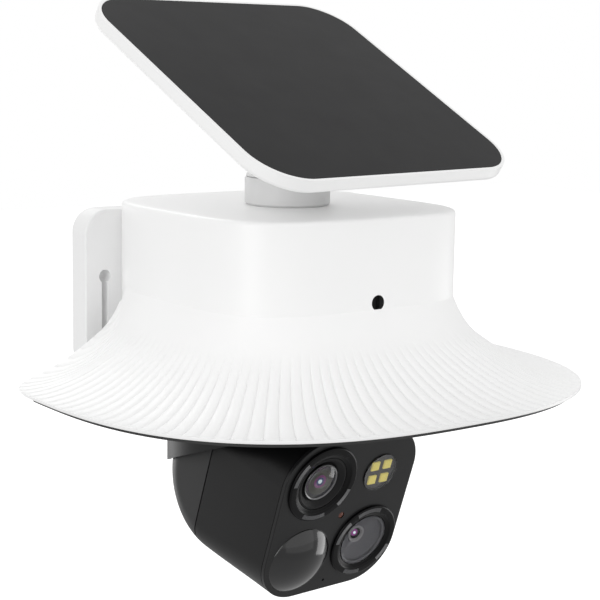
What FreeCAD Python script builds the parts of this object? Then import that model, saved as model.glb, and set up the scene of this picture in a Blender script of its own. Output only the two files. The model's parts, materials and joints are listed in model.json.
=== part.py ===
"""Solar security camera: wall plate, fluted housing, tilting solar panel and pan-tilt twin-lens head.

Frame: the origin lies on the wall, midway between the two keyholes of the wall plate. +Z is up and
the camera looks along -Y. All lengths are in millimetres and all angles in degrees.
"""
import FreeCAD, Part
import math
import os
import Sketcher

Vector = FreeCAD.Vector
Rotation = FreeCAD.Rotation
Placement = FreeCAD.Placement

X_AXIS = Vector(1, 0, 0)
Y_AXIS = Vector(0, 1, 0)
Z_AXIS = Vector(0, 0, 1)

# ---------------------------------------------------------------- driving dimensions
SIZES = {
    # the housing: its upright axis stands off the wall, its rim lies below the keyholes
    "axis_reach": 67.5,
    "rim_drop": 44,
    "box_half": 67.2,
    "box_height": 80.5,
    "box_power": 3.86,
    "rim_half": 130,
    "rim_power": 2.59,
    "rim_lip": 1.4,
    "flare_height": 31.2,
    "skirt_back": 41.5,
    "skirt_corner": 24,
    "shell_wall": 2.6,
    "box_back": 64,
    # the wall plate
    "plate_half": 78,
    "plate_low": -3,
    "plate_high": 76,
    "plate_depth": 13,
    "plate_corner": 11.5,
    "keyhole_x": 67.6,
    "keyhole_radius": 3.15,
    "keyslot_width": 3.4,
    "keyslot_length": 26,
    # the bottom cover and the openings in it
    "cover_top": 0.4,
    "cover_thick": 1.6,
    "cover_inset": 3,
    "hub_radius": 24,
    "hub_gap": 0.3,
    # the swivel and the solar panel
    "swivel_radius": 20.2,
    "swivel_height": 13,
    "neck_radius": 15.6,
    "pivot_rise": 24.5,
    "eye_radius": 9,
    "eye_width": 12,
    "hinge_radius": 3,
    "panel_yaw": 7.77,
    "panel_tilt": 29.85,
    "panel_rise": 22.5,
    "panel_width": 160.6,
    "panel_height": 151.7,
    "panel_depth": 7,
    "panel_corner": 24,
    "glass_margin": 1.5,
    "glass_thick": 1.2,
    "cell_thick": 0.6,
    # the turret and the camera head
    "pan_turn": 2.75,
    "face_tilt": 18.76,
    "turret_radius": 56.2,
    "turret_wall": 1.6,
    "disc_top": 2.6,
    "disc_thick": 5,
    "tilt_axis_y": 7,
    "tilt_axis_drop": 50,
    "drum_radius": 40,
    "head_half": 39.6,
    "head_round": 22,
    "head_round_low": 15,
    "head_round_back": 20,
    "head_wall": 2.5,
    "face_reach": 60.8,
    "face_centre": 42.5,
    "face_top": 0.5,
    "face_low": 85.9,
    "face_thick": 2,
    "face_line": 0.3,
    "seam_reach": 7,
    "lens_ring_radius": 19.3,
    "lens_bore": 13.4,
    "led_radius": 9.8,
    "pir_radius": 17.3,
    # gears: module and tooth counts
    "pan_module": 1,
    "pan_teeth": 72,
    "pan_pinion_teeth": 12,
    "tilt_module": 0.8,
    "tilt_teeth": 50,
    "tilt_pinion_teeth": 12,
    # hardware
    "screw_radius": 1.5,
    "screw_head": 2.8,
    "shaft_radius": 4,
    "running_gap": 0.05,
}

doc = FreeCAD.newDocument("SolarCamera")
sheet = doc.addObject("Spreadsheet::Sheet", "dims")
for line, (alias, size) in enumerate(SIZES.items(), start=1):
    sheet.set(f"A{line}", alias)
    sheet.set(f"B{line}", str(size))
    sheet.setAlias(f"B{line}", alias)
doc.recompute()

PARTS = []


def val(alias):
    """A driving dimension, read back from the sheet."""
    return float(sheet.get(alias))


def spot(x, y, z):
    """A point given from the housing's upright axis and its rim, in the part's own frame."""
    return Vector(x, y - val("axis_reach"), z - val("rim_drop"))


# ---------------------------------------------------------------- frames of the moving groups
BOX = Placement(spot(0, 0, 0), Rotation())
PAN = Placement(spot(0, 0, 0), Rotation(Z_AXIS, val("pan_turn")))
PANEL_YAW = Rotation(Z_AXIS, val("panel_yaw"))
SWIVEL = Placement(spot(0, 0, val("box_height")), PANEL_YAW)
PIVOT = SWIVEL * Placement(Vector(0, 0, val("swivel_height") + val("pivot_rise")), Rotation())
PANEL = PIVOT * Placement(Vector(), Rotation(X_AXIS, val("panel_tilt")))
FACE_TURN = Rotation(X_AXIS, 90 + val("face_tilt"))
HEAD = PAN * Placement(Vector(), FACE_TURN)
TILT = PAN * Placement(Vector(0, val("tilt_axis_y"), -val("tilt_axis_drop")), Rotation())
FACE = HEAD * Placement(Vector(0, -val("face_centre"), val("face_reach")), Rotation())


def head_point(x, y, z):
    """A point of the pan frame, written in the head frame (across, up the face, out of the face)."""
    return FACE_TURN.inverted().multVec(Vector(x, y, z))


# ---------------------------------------------------------------- builders of document objects
def bind(item, **sizes):
    """Bind properties of an object to formulas of the sheet."""
    for path, formula in sizes.items():
        item.setExpression(path.replace("__", "."), formula)


def keep(item, label, place=None):
    """Register an object as a finished piece of the camera."""
    item.Label = label
    if place is not None:
        item.Placement = place
    PARTS.append(item)
    return item


def feature(label, shape, place=None):
    """A finished piece whose shape is worked out from the sheet in code."""
    item = doc.addObject("Part::Feature", label + "_solid")
    item.Shape = shape
    return keep(item, label, place)


def origin_plane(body, role):
    """One of the body's own origin planes, found by its role."""
    return next(plane for plane in body.Origin.OriginFeatures if plane.Role == role)


def add_outline(sketch, corners):
    """A closed outline through corners, each held by formulas for its distances from the origin."""
    count = len(corners)
    start = sketch.GeometryCount
    here = [(eval_formula(a), eval_formula(b)) for a, b in corners]
    for index in range(count):
        first = Vector(*here[index], 0)
        last = Vector(*here[(index + 1) % count], 0)
        sketch.addGeometry(Part.LineSegment(first, last), False)
    for index in range(count):
        following = start + (index + 1) % count
        sketch.addConstraint(Sketcher.Constraint("Coincident", start + index, 2, following, 1))
    for index, (across, upward) in enumerate(corners):
        for kind, formula, size in (("DistanceX", across, here[index][0]), ("DistanceY", upward, here[index][1])):
            if abs(size) < 1e-9:
                axis = -2 if kind == "DistanceX" else -1
                sketch.addConstraint(Sketcher.Constraint("PointOnObject", start + index, 1, axis))
                continue
            rule = sketch.addConstraint(Sketcher.Constraint(kind, -1, 1, start + index, 1, size))
            sketch.setExpression(f"Constraints[{rule}]", formula)


def eval_formula(formula):
    """The number that a sheet formula stands for."""
    return float(sheet.evalExpression(formula))


def add_circle(sketch, across, upward, radius):
    """A circle held by formulas for its centre and radius."""
    centre = (eval_formula(across), eval_formula(upward))
    size = eval_formula(radius)
    ring = sketch.addGeometry(Part.Circle(Vector(*centre, 0), Z_AXIS, size), False)
    for kind, formula, place, axis in (("DistanceX", across, centre[0], -2), ("DistanceY", upward, centre[1], -1)):
        if abs(place) < 1e-9:
            sketch.addConstraint(Sketcher.Constraint("PointOnObject", ring, 3, axis))
            continue
        rule = sketch.addConstraint(Sketcher.Constraint(kind, -1, 1, ring, 3, place))
        sketch.setExpression(f"Constraints[{rule}]", formula)
    rule = sketch.addConstraint(Sketcher.Constraint("Radius", ring, size))
    sketch.setExpression(f"Constraints[{rule}]", radius)


def new_sketch(body, role, name):
    """A sketch on one of the body's origin planes."""
    sketch = body.newObject("Sketcher::SketchObject", name)
    sketch.AttachmentSupport = [(origin_plane(body, role), "")]
    sketch.MapMode = "FlatFace"
    return sketch


def turned(label, profile, place):
    """A body of revolution: profile gives (radius, height) formulas around the local Z axis."""
    body = doc.addObject("PartDesign::Body", label + "_body")
    sketch = new_sketch(body, "XZ_Plane", label + "_profile")
    add_outline(sketch, profile)
    spin = body.newObject("PartDesign::Revolution", label + "_turn")
    spin.Profile = sketch
    spin.ReferenceAxis = (sketch, ["V_Axis"])
    spin.Angle = 360
    return keep(body, label, place)


def plate(label, corners, thick, place, holes=(), rounding=None):
    """A flat body: an outline and round holes, padded up the local Z axis."""
    body = doc.addObject("PartDesign::Body", label + "_body")
    sketch = new_sketch(body, "XY_Plane", label + "_outline")
    if len(corners) == 1:
        add_circle(sketch, *corners[0])
    else:
        add_outline(sketch, corners)
    for hole in holes:
        add_circle(sketch, *hole)
    pad = body.newObject("PartDesign::Pad", label + "_pad")
    pad.Profile = sketch
    pad.setExpression("Length", thick)
    if rounding is not None:
        doc.recompute()
        upright = [f"Edge{number}" for number, edge in enumerate(pad.Shape.Edges, start=1) if is_upright(edge)]
        soft = body.newObject("PartDesign::Fillet", label + "_corners")
        soft.Base = (pad, upright)
        soft.setExpression("Radius", rounding)
    return keep(body, label, place)


def is_upright(edge):
    """Whether a straight edge runs along Z."""
    if not isinstance(edge.Curve, Part.Line):
        return False
    return abs(edge.tangentAt(edge.FirstParameter).z) > 0.999


def rectangle(half_x, half_y):
    """Corner formulas of a rectangle about the origin."""
    return [(f"-({half_x})", f"-({half_y})"), (half_x, f"-({half_y})"), (half_x, half_y), (f"-({half_x})", half_y)]


# ---------------------------------------------------------------- plain shapes used by the coded pieces
def cylinder(radius, low, high, x=0.0, y=0.0):
    return Part.makeCylinder(radius, high - low, Vector(x, y, low))


def ring(outer, inner, low, high, x=0.0, y=0.0):
    return cylinder(outer, low, high, x, y).cut(cylinder(inner, low - 1, high + 1, x, y))


def block(low, high):
    """A box between two opposite corners."""
    size = Vector(*high) - Vector(*low)
    return Part.makeBox(size.x, size.y, size.z, Vector(*low))


def rod(radius, low, high, y=0.0, z=0.0):
    """A cylinder along X."""
    return Part.makeCylinder(radius, high - low, Vector(low, y, z), X_AXIS)


def screw(x, y, seat, length, up=1.0, radius=None, head=None):
    """A pan-head screw along Z: its shank runs from the seat towards up, its head lies the other way."""
    radius = radius or val("screw_radius")
    head = head or val("screw_head")
    way = Vector(0, 0, up)
    shank = Part.makeCylinder(radius, length, Vector(x, y, seat), way)
    cap = Part.makeCylinder(head, 0.7 * head, Vector(x, y, seat), way * -1)
    socket = Part.makeCylinder(0.45 * head, 0.4 * head, Vector(x, y, seat - up * 0.7 * head), way)
    return shank.fuse(cap).cut(socket)


def superellipse(half, power, level, depth_ratio=1.0):
    """A closed smooth outline |x/half|^power + |y/half|^power = 1 at a level."""
    count = 64
    spots = []
    for index in range(count):
        angle = 2 * math.pi * index / count
        along = math.copysign(abs(math.cos(angle)) ** (2 / power), math.cos(angle))
        aside = math.copysign(abs(math.sin(angle)) ** (2 / power), math.sin(angle))
        spots.append(Vector(half * along, half * aside * depth_ratio, level))
    curve = Part.BSplineCurve()
    curve.interpolate(Points=spots, PeriodicFlag=True)
    return Part.Wire([curve.toShape()])


def superprism(half, power, low, high, depth_ratio=1.0):
    outline = superellipse(half, power, low, depth_ratio)
    return Part.Face(outline).extrude(Vector(0, 0, high - low))


def back_limit(back, corner, low, high):
    """All that lies in front of the skirt's flat back, whose two rear corners are rounded."""
    far = 200
    side = val("rim_half") * 0.992 - (val("skirt_back") - back)
    turn = side - corner
    bend = corner * math.sqrt(0.5)
    edges = [
        Part.makeLine(Vector(-turn, back, low), Vector(turn, back, low)),
        Part.Arc(Vector(turn, back, low), Vector(turn + bend, back - corner + bend, low),
                 Vector(side, back - corner, low)).toShape(),
        Part.makeLine(Vector(side, back - corner, low), Vector(far, back - corner - far, low)),
        Part.makeLine(Vector(far, back - corner - far, low), Vector(-far, back - corner - far, low)),
        Part.makeLine(Vector(-far, back - corner - far, low), Vector(-side, back - corner, low)),
        Part.Arc(Vector(-side, back - corner, low), Vector(-turn - bend, back - corner + bend, low),
                 Vector(-turn, back, low)).toShape(),
    ]
    return Part.Face(Part.Wire(edges)).extrude(Vector(0, 0, high - low))


# ---------------------------------------------------------------- the housing and its fixed pieces
def skirt_section(share, inset=0.0, drop=0.0):
    """One level of the flare: share 0 is the box, share 1 the rim."""
    box = val("box_half")
    half = box + (val("rim_half") - box) * share - inset
    power = val("box_power") + (val("rim_power") - val("box_power")) * share
    level = val("rim_lip") + (val("flare_height") - val("rim_lip")) * (1 - share) ** 2 - drop
    return superellipse(half, power, level)


def skirt_outer():
    """The flared skirt as a full body, with its upright lip below."""
    shares = [-0.06, 0.12, 0.3, 0.45, 0.6, 0.75, 0.88, 1]
    flare = Part.makeLoft([skirt_section(share) for share in reversed(shares)], True)
    lip = superprism(val("rim_half") - 0.3, val("rim_power"), 0, val("rim_lip") + 0.4)
    limit = back_limit(val("skirt_back"), val("skirt_corner"), -5, 40)
    return largest(largest(flare.common(limit)).fuse(largest(lip.common(limit))))


def skirt_hollow(depth):
    """The space under the flare, open below, that lies a given depth inside its surface."""
    shares = [-0.06, 0.12, 0.3, 0.45, 0.6, 0.75, 0.86]
    sections = [skirt_section(share, depth, 0.7 * depth) for share in reversed(shares)]
    flare = Part.makeLoft(sections, True)
    level = flare.BoundBox.ZMin
    half = val("box_half") + (val("rim_half") - val("box_half")) * shares[-1] - depth
    power = val("box_power") + (val("rim_power") - val("box_power")) * shares[-1]
    mouth = superprism(half - 0.4, power, -2, level + 0.5)
    limit = back_limit(val("skirt_back") - depth, val("skirt_corner") - depth, -5, 40)
    return largest(largest(flare.common(limit)).fuse(largest(mouth.common(limit))))


COVER_SCREWS = [(92, -30), (-92, -30), (52, -92), (-52, -92), (84, 26), (-84, 26)]
PLATE_SCREWS = [(30, 18), (-30, 18), (30, 66), (-30, 66)]
SENSOR_SPOT = (1.4, 42.6)


def make_housing():
    wall = val("shell_wall")
    height = val("box_height")
    back = val("box_back")
    box = superprism(val("box_half"), val("box_power"), 0, height)
    top_edges = [edge for edge in box.Edges if edge.BoundBox.ZMin > height - 0.01]
    box = box.makeFillet(1.6, top_edges)
    outer = box.fuse(skirt_outer())
    room = superprism(val("box_half") - wall, val("box_power"), -2, height - wall)
    room = room.common(block((-90, -90, -3), (90, back - wall, height)))
    inner = room.fuse(skirt_hollow(wall))
    shell = largest(outer.cut(inner))
    roof = skirt_hollow(wall / 2)
    for x, y in COVER_SCREWS:
        shell = largest(shell.fuse(cylinder(4, 0, 30, x, y).common(roof)))
    shell = shell.cut([cylinder(1.25, -1, 7, x, y) for x, y in COVER_SCREWS])
    shell = shell.cut(block((-90, back, -1), (90, 90, val("plate_high") + 0.6)))
    shell = shell.cut(cylinder(6.3, height - 9, height + 1))
    for index in range(3):
        angle = math.radians(90 + 120 * index)
        shell = shell.cut(cylinder(1.6, height - 9, height + 1, 12 * math.cos(angle), 12 * math.sin(angle)))
    sensor = Part.makeCylinder(3.6, 12, Vector(SENSOR_SPOT[0], -75, SENSOR_SPOT[1]), Y_AXIS)
    holes = [Part.makeCylinder(1.6, 9, Vector(x, back - 8, z), Y_AXIS) for x, z in PLATE_SCREWS]
    feature("housing_shell", largest(shell.cut([sensor] + holes)), BOX)


def make_wall_plate():
    rear = val("axis_reach")
    front = rear - val("plate_depth")
    half = val("plate_half")
    low = val("plate_low")
    high = val("plate_high")
    body = block((-half, front, low), (half, rear, high))
    corners = [edge for edge in body.Edges if abs(edge.tangentAt(edge.FirstParameter).y) > 0.99]
    body = body.makeFillet(val("plate_corner"), corners)
    body = body.makeFillet(0.9, [edge for edge in body.Edges if edge.BoundBox.YMax < front + 0.01])
    seat = superprism(val("box_half") + 0.3, val("box_power"), low - 1, high + 1)
    seat = seat.common(block((-90, 0, low - 2), (90, val("box_back") + 0.3, high + 2)))
    body = body.cut(seat)
    level = val("rim_drop")
    tools = []
    for side in (-1, 1):
        x = side * val("keyhole_x")
        tools.append(Part.makeCylinder(val("keyhole_radius"), 20, Vector(x, front - 2, level), Y_AXIS))
        slot = val("keyslot_width") / 2
        tools.append(block((x - slot, front - 2, level - val("keyslot_length")), (x + slot, rear + 2, level)))
        for floor in (3, 54):
            tools.append(block((x - 4.6, front + 3, floor), (x + 5.4, rear + 1, floor + 10)))
    for x, z in PLATE_SCREWS:
        tools.append(Part.makeCylinder(1.25, 2.2, Vector(x, val("box_back"), z), Y_AXIS))
    feature("wall_plate", body.cut(tools), BOX)


def footprint(rim_inset, box_inset, low, high):
    """The shape of the housing's underside, drawn in from the rim and from the box."""
    rim = superprism(val("rim_half") - rim_inset, val("rim_power"), low, high)
    rim = rim.common(back_limit(val("skirt_back") - rim_inset, val("skirt_corner") - 1, low - 1, high + 1))
    box = superprism(val("box_half") - box_inset, val("box_power"), low, high)
    box = box.common(block((-90, -90, low - 1), (90, val("box_back") - box_inset, high + 1)))
    return rim.fuse(box).removeSplitter()


SPEAKER_SPOT = (-84, -6)
USB_SPOT = (84, -22)
BUTTON_SPOT = (84, 8)
MOTOR_Y = -(val("pan_teeth") + val("pan_pinion_teeth")) * val("pan_module") / 2
BOARD_POSTS = [(45, -52), (-45, -52), (45, 8), (-45, 8)]
MOTOR_POSTS = [(21.5, MOTOR_Y), (-21.5, MOTOR_Y)]
BOARD_LEVEL = 40
MOTOR_LEVEL = 13


def make_bottom_cover():
    top = -val("cover_top")
    low = top - val("cover_thick")
    cover = footprint(val("cover_inset"), 0.8, low, top)
    adds = [cylinder(3.4, top, BOARD_LEVEL, x, y) for x, y in BOARD_POSTS]
    adds += [cylinder(3.6, top, MOTOR_LEVEL, x, y) for x, y in MOTOR_POSTS]
    adds.append(cylinder(4.2, top, 1.6, *BUTTON_SPOT).cut(cylinder(3.6, top - 1, 3, *BUTTON_SPOT)))
    cover = cover.fuse(adds)
    cuts = [cylinder(val("hub_radius") + val("hub_gap"), low - 1, 3)]
    cuts += [cylinder(1.7, low - 1, 1, x, y) for x, y in COVER_SCREWS]
    cuts += [cylinder(1.1, BOARD_LEVEL - 9, BOARD_LEVEL + 1, x, y) for x, y in BOARD_POSTS]
    cuts += [cylinder(1.1, MOTOR_LEVEL - 8, MOTOR_LEVEL + 1, x, y) for x, y in MOTOR_POSTS]
    cuts.append(cylinder(1.3, low - 1, 3, *SPEAKER_SPOT))
    for index in range(6):
        angle = math.radians(60 * index)
        x = SPEAKER_SPOT[0] + 6 * math.cos(angle)
        y = SPEAKER_SPOT[1] + 6 * math.sin(angle)
        cuts.append(cylinder(1.3, low - 1, 3, x, y))
    cuts.append(block((USB_SPOT[0] - 6, USB_SPOT[1] - 3.4, low - 1), (USB_SPOT[0] + 6, USB_SPOT[1] + 3.4, 1)))
    cuts.append(cylinder(2.7, low - 1, 1, *BUTTON_SPOT))
    feature("bottom_cover", cover.cut(cuts), BOX)


def make_cover_seal():
    low = -val("cover_top")
    outer = footprint(val("cover_inset") + 0.5, 0.9, low, 0)
    inner = footprint(val("cover_inset") + 5, 2.3, low - 1, 1)
    seal = outer.cut(inner)
    feature("cover_seal", seal.cut([cylinder(1.7, -2, 1, x, y) for x, y in COVER_SCREWS]), BOX)


def make_fixed_screws():
    low = -val("cover_top") - val("cover_thick")
    cover = [screw(x, y, low, 8, 1.0, radius=1.2) for x, y in COVER_SCREWS]
    feature("cover_screws", Part.makeCompound(cover), BOX)
    turn = Placement(Vector(), Rotation(X_AXIS, -90))
    seat = val("box_back") - val("shell_wall")
    into_wall = []
    for x, z in PLATE_SCREWS:
        item = screw(x, -z, seat, 4.6, 1.0, radius=1.2)
        item.Placement = turn
        into_wall.append(item)
    feature("plate_screws", Part.makeCompound(into_wall), BOX)
    inner = [screw(x, y, BOARD_LEVEL + 1.6, 6, -1.0, radius=1.0, head=2.2) for x, y in BOARD_POSTS]
    inner += [screw(x, y, MOTOR_LEVEL + 1.4, 6, -1.0, radius=1.0, head=2.2) for x, y in MOTOR_POSTS]
    feature("board_and_motor_screws", Part.makeCompound(inner), BOX)


CELL_RADIUS = 9.1
CELL_LENGTH = 65
CELL_SPOTS = [(28.5, 40.2), (47.6, 40.2), (28.5, 59.4), (47.6, 59.4)]


def make_battery():
    cells = [rod(CELL_RADIUS, -CELL_LENGTH / 2, CELL_LENGTH / 2, y, z) for y, z in CELL_SPOTS]
    feature("battery_cells", Part.makeCompound(cells), BOX)
    rear = val("box_back") - val("shell_wall")
    end = CELL_LENGTH / 2 + 0.4
    floor = block((-end - 2.4, 18, 28.4), (end + 2.4, rear, 30.9))
    tray = floor
    for side in (-1, 1):
        inner = side * end
        outer = side * (end + 2.4)
        tray = tray.fuse(block((min(inner, outer), 18, 28.4), (max(inner, outer), 57.5, 52)))
    feature("battery_tray", tray.removeSplitter(), BOX)


def make_boards():
    board = block((-50, -58, BOARD_LEVEL), (50, 14, BOARD_LEVEL + 1.6))
    board = board.fuse([block((8, -42, BOARD_LEVEL + 1), (38, -18, BOARD_LEVEL + 4.4)),
                        block((-24, -38, BOARD_LEVEL + 1), (-8, -22, BOARD_LEVEL + 3)),
                        block((-44, -30, BOARD_LEVEL + 1), (-36, -14, BOARD_LEVEL + 7))])
    board = board.cut([cylinder(1.3, BOARD_LEVEL - 1, BOARD_LEVEL + 3, x, y) for x, y in BOARD_POSTS])
    feature("main_board", board, BOX)
    port = block((78.5, -29, 7), (87.4, 13, 8.2)).fuse(block((81, 5, 3.2), (87, 11, 7)))
    feature("port_board", port.fuse(cylinder(1.4, 2, 3.2, *BUTTON_SPOT)), BOX)
    antennas = [block((side * 62.3 - 0.5, -32, 16), (side * 62.3 + 0.5, -14, 60)) for side in (-1, 1)]
    feature("antennas", Part.makeCompound(antennas), BOX)


def make_ports():
    top = -val("cover_top")
    shell = block((-4.5, -1.7, 0), (4.5, 1.7, 7 - top))
    mouth = block((-4, -1.2, -1), (4, 1.2, 5))
    tongue = block((-3.2, -0.35, 0.8), (3.2, 0.35, 5.4))
    socket = shell.cut(mouth).fuse(tongue)
    feature("usb_socket", socket, Placement(spot(USB_SPOT[0], USB_SPOT[1], top), Rotation()))
    low = top - val("cover_thick")
    lid = block((-7.5, -4.6, -1.4), (7.5, 4.6, -0.2))
    lid = lid.makeFillet(2, [edge for edge in lid.Edges if is_upright(edge)])
    plug = block((-5.7, -3.1, -0.2), (5.7, 3.1, 1.3)).fuse(lid)
    feature("port_plug", plug, Placement(spot(USB_SPOT[0], USB_SPOT[1], low), Rotation()))
    profile = [("0", "0"), ("2.4", "0"), ("2.4", "2"), ("3.3", "2"), ("3.3", "3"), ("0", "3")]
    turned("reset_button", profile, Placement(spot(*BUTTON_SPOT, low), Rotation()))
    cone = [("0", "0.6"), ("12.4", "0.6"), ("12.4", "0"), ("13.4", "0"), ("13.4", "3"), ("7", "5"), ("0", "5")]
    turned("speaker", cone, Placement(spot(*SPEAKER_SPOT, top), Rotation()))
    window = [("0", "0"), ("3.5", "0"), ("3.5", "2.7"), ("4.8", "2.7"), ("4.8", "3.8"), ("0", "3.8")]
    front = Placement(spot(SENSOR_SPOT[0], -67.2, SENSOR_SPOT[1]), Rotation(X_AXIS, -90))
    turned("light_sensor", window, front)


# ---------------------------------------------------------------- gears
def gear_outline(teeth, module, start=0.0):
    """A closed spur gear outline with straight-flanked teeth; one tooth points along start (degrees)."""
    pitch_radius = teeth * module / 2
    tip = pitch_radius + 0.85 * module
    root = pitch_radius - 1.15 * module
    step = 2 * math.pi / teeth
    widths = [(root, 0.33), (pitch_radius, 0.215), (tip, 0.105)]
    spots = []
    for index in range(teeth):
        middle = math.radians(start) + index * step
        for radius, share in widths:
            spots.append((radius, middle - share * step))
        for radius, share in reversed(widths):
            spots.append((radius, middle + share * step))
    corners = [Vector(radius * math.cos(turn), radius * math.sin(turn), 0) for radius, turn in spots]
    return Part.makePolygon(corners + [corners[0]])


def spur_gear(teeth, module, bore, low, high, start=0.0):
    disc = Part.Face(gear_outline(teeth, module, start)).extrude(Vector(0, 0, high - low))
    disc.translate(Vector(0, 0, low))
    return disc.cut(cylinder(bore, low - 1, high + 1))


GEAR_LOW = 5.8
GEAR_HIGH = 9.8


def make_pan_drive():
    module = val("pan_module")
    gear = spur_gear(int(val("pan_teeth")), module, 17, GEAR_LOW, GEAR_HIGH, -90 - val("pan_turn"))
    holes = [cylinder(1.3, 0, 12, 20.5 * math.cos(a), 20.5 * math.sin(a)) for a in quarter_turns()]
    feature("pan_gear", gear.cut(holes), PAN)
    step = 360 / val("pan_pinion_teeth")
    pinion = spur_gear(int(val("pan_pinion_teeth")), module, 2.5, GEAR_LOW, GEAR_HIGH, 90 + step / 2)
    feature("pan_pinion", pinion, Placement(spot(0, MOTOR_Y, 0), Rotation()))
    body = cylinder(17.5, MOTOR_LEVEL, 33).fuse(cylinder(2.45, GEAR_LOW, MOTOR_LEVEL))
    ears = block((-25, -3.6, MOTOR_LEVEL), (25, 3.6, MOTOR_LEVEL + 1.4))
    body = body.fuse(ears).fuse(cylinder(5, MOTOR_LEVEL - 2, MOTOR_LEVEL))
    body = body.cut([cylinder(1.1, 10, 20, x, 0) for x in (-21.5, 21.5)])
    feature("pan_motor", body, Placement(spot(0, MOTOR_Y, 0), Rotation()))
    inner = val("hub_radius") + 0.08
    profile = [(str(inner), "0"), ("31", "0"), ("31", "5.9"), (str(inner), "5.9")]
    turned("pan_bearing", profile, Placement(spot(0, 0, -val("cover_top")), Rotation()))


def quarter_turns():
    return [math.radians(45 + 90 * index) for index in range(4)]


# ---------------------------------------------------------------- the turret and the yoke
def drum_outline(growth):
    """The head's side outline in the pan frame, drawn at x = 0 and grown outward."""
    middle = Vector(0, val("tilt_axis_y"), -val("tilt_axis_drop"))
    radius = val("drum_radius") + growth
    tilt = math.radians(val("face_tilt"))
    out = Vector(0, -math.cos(tilt), -math.sin(tilt))
    up = Vector(0, -math.sin(tilt), math.cos(tilt))
    top = out * (val("face_reach") + growth) + up * (growth - val("face_top"))
    low = out * (val("face_reach") + growth) - up * (val("face_low") + growth)
    top_touch = tangent_point(middle, radius, top, 1)
    low_touch = tangent_point(middle, radius, low, -1)
    rear = middle + Vector(0, radius, 0)
    edges = [
        Part.makeLine(top_touch, top),
        Part.makeLine(top, low),
        Part.makeLine(low, low_touch),
        Part.Arc(low_touch, rear, top_touch).toShape(),
    ]
    return Part.Wire(edges)


def tangent_point(middle, radius, outside, side):
    """Where a line from an outside point touches the circle; side +1 is the upper of the two."""
    away = outside - middle
    reach = away.Length
    turn = math.degrees(math.acos(radius / reach))
    ray = away.normalize() * radius
    first = middle + Rotation(X_AXIS, turn).multVec(ray)
    second = middle + Rotation(X_AXIS, -turn).multVec(ray)
    higher, lower = (first, second) if first.z > second.z else (second, first)
    return higher if side > 0 else lower


def starts_ahead(edge):
    """Whether an edge's first end is the one nearer the face, or the higher one on the drum."""
    first = edge.valueAt(edge.FirstParameter)
    last = edge.valueAt(edge.LastParameter)
    gap = (first - last).dot(FACE_TURN.multVec(Z_AXIS))
    return gap > 0 if abs(gap) > 25 else first.z > last.z


def rounded_head(body, half, growth):
    """Rounds the head's long edges: fullest at the face, tighter towards the back and below."""
    out = FACE_TURN.multVec(Z_AXIS)
    face = val("head_round") + growth
    back = val("head_round_back") + growth
    under = val("head_round_low") + growth
    plan = []
    for number, edge in enumerate(body.Edges, start=1):
        middle = edge.CenterOfMass
        if abs(abs(middle.x) - half) > 0.01 or middle.dot(out) > val("face_reach") + growth - 0.01:
            continue
        ends = (back, under)
        if isinstance(edge.Curve, Part.Line):
            ends = (face, under) if middle.z < -val("tilt_axis_drop") else (face, back)
        if not starts_ahead(edge):
            ends = ends[::-1]
        plan.append((number, *ends))
    block_item = doc.addObject("Part::Feature", "head_block")
    block_item.Shape = body
    rounding = doc.addObject("Part::Fillet", "head_rounding")
    rounding.Base = block_item
    rounding.Edges = plan
    doc.recompute([rounding], True)
    shape = largest(rounding.Shape)
    doc.removeObject(rounding.Name)
    doc.removeObject(block_item.Name)
    return shape


def head_body(growth=0.0, front_open=0.0):
    """The head's full body in the pan frame; a negative growth gives its hollow."""
    half = val("head_half") + growth
    outline = drum_outline(growth)
    body = Part.Face(outline).extrude(Vector(2 * half, 0, 0))
    body.translate(Vector(-half, 0, 0))
    tilt = math.radians(val("face_tilt"))
    out = Vector(0, -math.cos(tilt), -math.sin(tilt))
    body = rounded_head(body, half, growth)
    if front_open:
        mouth = [face for face in body.Faces if face.CenterOfMass.dot(out) > val("face_reach") + growth - 0.01]
        body = body.fuse(mouth[0].extrude(out * front_open))
    return body


def seam_side(front, reach):
    """A large block in the pan frame on one side of a plane parallel to the face."""
    size = 200
    slab = block((-size, -size, reach), (size, size, reach + size))
    if not front:
        slab = block((-size, -size, reach - size), (size, size, reach))
    slab.Placement = Placement(Vector(), FACE_TURN)
    return slab


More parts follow.
